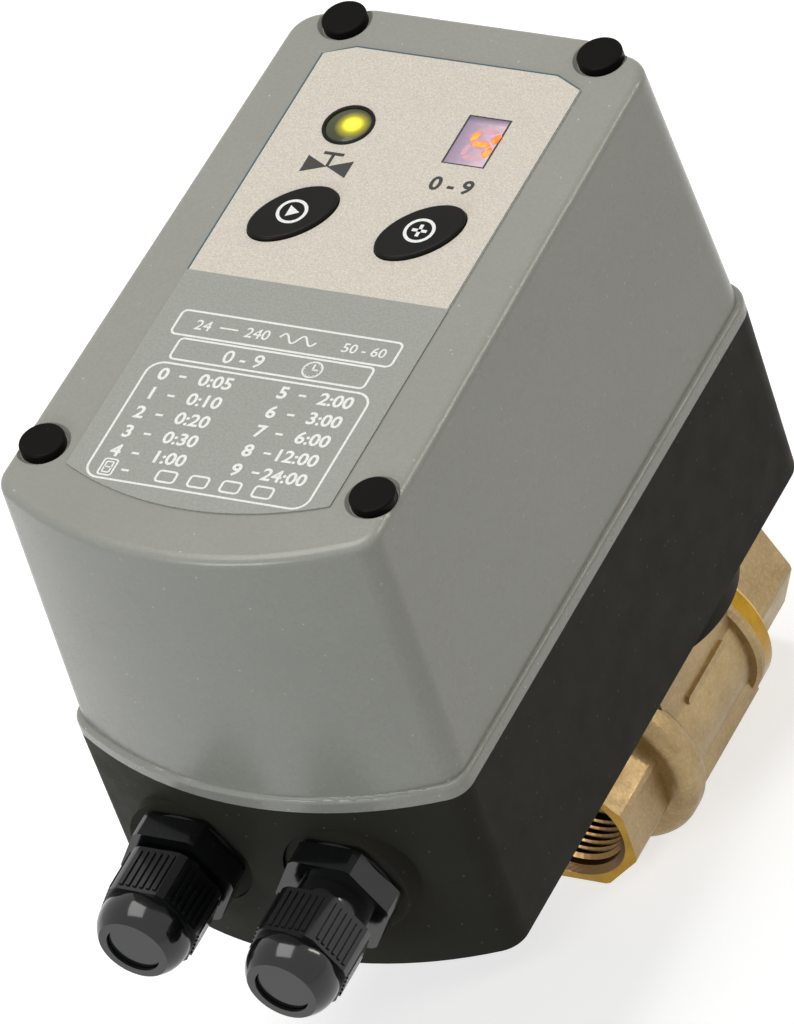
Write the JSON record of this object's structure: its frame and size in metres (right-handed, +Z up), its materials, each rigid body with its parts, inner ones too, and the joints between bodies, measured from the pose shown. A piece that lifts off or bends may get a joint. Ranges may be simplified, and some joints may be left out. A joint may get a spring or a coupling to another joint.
{
  "type": "automatic drain valve",
  "caption": "Timer-driven motor ball valve for draining condensate: tapered two-part housing with label face, keys and cable glands over a threaded two-port valve.",
  "frame": {"origin": "centre of the inlet port's end face, on the valve's flow axis", "axes": "+Y along the flow axis from inlet to outlet and away from the cable glands, +Z up along the valve stem, square to the label face, +X to the right seen from the gland end"},
  "size_m": [0.0862, 0.1787, 0.1678],
  "materials": {
    "black_plastic": "black glass-filled housing plastic",
    "grey_plastic": "grey moulded cover, satin",
    "gasket_rubber": "black foam rubber",
    "cap_rubber": "black soft plastic caps",
    "steel": "zinc-plated steel",
    "film": "printed polyester label film",
    "key_plastic": "black key caps",
    "lens": "tinted light lens",
    "window": "clear display window",
    "display": "display face",
    "board": "green glass-epoxy board",
    "component": "moulded electronic parts",
    "terminal": "green terminal plastic",
    "core": "laminated core, lacquered",
    "motor_can": "drawn steel can",
    "gear_plastic": "acetal gear plastic",
    "cast_brass": "blasted and nickel-washed cast brass",
    "turned_brass": "turned brass",
    "ball_chrome": "chromed brass ball",
    "seat_plastic": "white fluoropolymer",
    "gland_plastic": "black polyamide"
  },
  "bodies": {
    "housing": {"base": "black_plastic", "cover": "grey_plastic", "housing_gasket": "gasket_rubber", "cover_screws": "steel", "screw_caps": "cap_rubber", "face_film": "film", "led_bezel": "key_plastic", "led_lens": "lens", "status_led": "lens", "display_module": "display", "display_window": "window", "key_switches": "component", "face_board": "board", "board_screws": "steel", "power_board": "board", "board_spacers": "steel", "transformer": "core", "relay": "component", "terminal_block": "terminal", "fuse": "lens", "capacitor": "component", "motor": "motor_can", "gear_pins": "steel", "lower_plate": "steel", "upper_plate": "steel", "plate_pillars": "steel", "plate_screws": "steel", "drive_bush": "seat_plastic", "limit_switches": "component", "switch_spacer": "component", "switch_screws": "steel", "valve_adapter": "black_plastic", "adapter_screws": "steel", "valve_body": "cast_brass", "end_cap": "cast_brass", "body_seal": "turned_brass", "seats": "seat_plastic", "stem_seals": "seat_plastic", "packing_nut": "turned_brass", "gland_bodies": "gland_plastic", "gland_washers": "gasket_rubber", "gland_locknuts": "gland_plastic", "gland_seals": "gasket_rubber", "gland_plugs": "gland_plastic"},
    "valve_drive": {"output_gear": "gear_plastic", "drive_shaft": "steel", "switch_cams": "gear_plastic", "stem": "turned_brass", "ball": "ball_chrome"},
    "second_gear": {"second_gear": "gear_plastic"},
    "first_gear": {"first_gear": "gear_plastic"},
    "motor_rotor": {"motor_pinion": "turned_brass"},
    "test_key": {"test_key": "key_plastic", "test_plunger": "component"},
    "set_key": {"set_key": "key_plastic", "set_plunger": "component"},
    "left_slip_ring": {"slip_ring_left": "gland_plastic"},
    "left_gland_nut": {"gland_nut_left": "gland_plastic"},
    "right_slip_ring": {"slip_ring_right": "gland_plastic"},
    "right_gland_nut": {"gland_nut_right": "gland_plastic"}
  },
  "joints": [
    {"name": "test_key_press", "type": "slide", "parent": "housing", "child": "test_key", "axis": [0, 0, -1], "range_m": [0, 0.0004], "stiffness_N_per_m": 900, "springref_m": -0.0004},
    {"name": "set_key_press", "type": "slide", "parent": "housing", "child": "set_key", "axis": [0, 0, -1], "range_m": [0, 0.0004], "stiffness_N_per_m": 900, "springref_m": -0.0004},
    {"name": "valve_turn", "type": "hinge", "parent": "housing", "child": "valve_drive", "pos_m": [0, 0.041, 0], "axis": [0, 0, 1], "continuous": true},
    {"name": "second_gear_turn", "type": "hinge", "parent": "housing", "child": "second_gear", "pos_m": [-0.02728, 0.041, 0.055], "axis": [0, 0, 1], "continuous": true},
    {"name": "first_gear_turn", "type": "hinge", "parent": "housing", "child": "first_gear", "pos_m": [-0.02728, 0.02292, 0.055], "axis": [0, 0, 1], "continuous": true},
    {"name": "motor_turn", "type": "hinge", "parent": "housing", "child": "motor_rotor", "pos_m": [-0.01807, 0.01194, 0.055], "axis": [0, 0, 1], "continuous": true},
    {"name": "left_gland_travel", "type": "slide", "parent": "housing", "child": "left_slip_ring", "axis": [0, -1, 0], "range_m": [0, 0.00282]},
    {"name": "left_gland_turn", "type": "hinge", "parent": "left_slip_ring", "child": "left_gland_nut", "pos_m": [-0.0312, -0.09, 0.0608], "axis": [0, 1, 0], "range_deg": [0, 720]},
    {"name": "right_gland_travel", "type": "slide", "parent": "housing", "child": "right_slip_ring", "axis": [0, -1, 0], "range_m": [0, 0.00282]},
    {"name": "right_gland_turn", "type": "hinge", "parent": "right_slip_ring", "child": "right_gland_nut", "pos_m": [0.0032, -0.09, 0.0608], "axis": [0, 1, 0], "range_deg": [0, 720]}
  ],
  "couplings": [
    {"joint": "second_gear_turn", "follows": "valve_turn", "ratio": -4.6667},
    {"joint": "first_gear_turn", "follows": "valve_turn", "ratio": 18.667},
    {"joint": "motor_turn", "follows": "valve_turn", "ratio": -70},
    {"joint": "left_gland_travel", "follows": "left_gland_turn", "m_per_rad": 0.00022441},
    {"joint": "right_gland_travel", "follows": "right_gland_turn", "m_per_rad": 0.00022441}
  ]
}
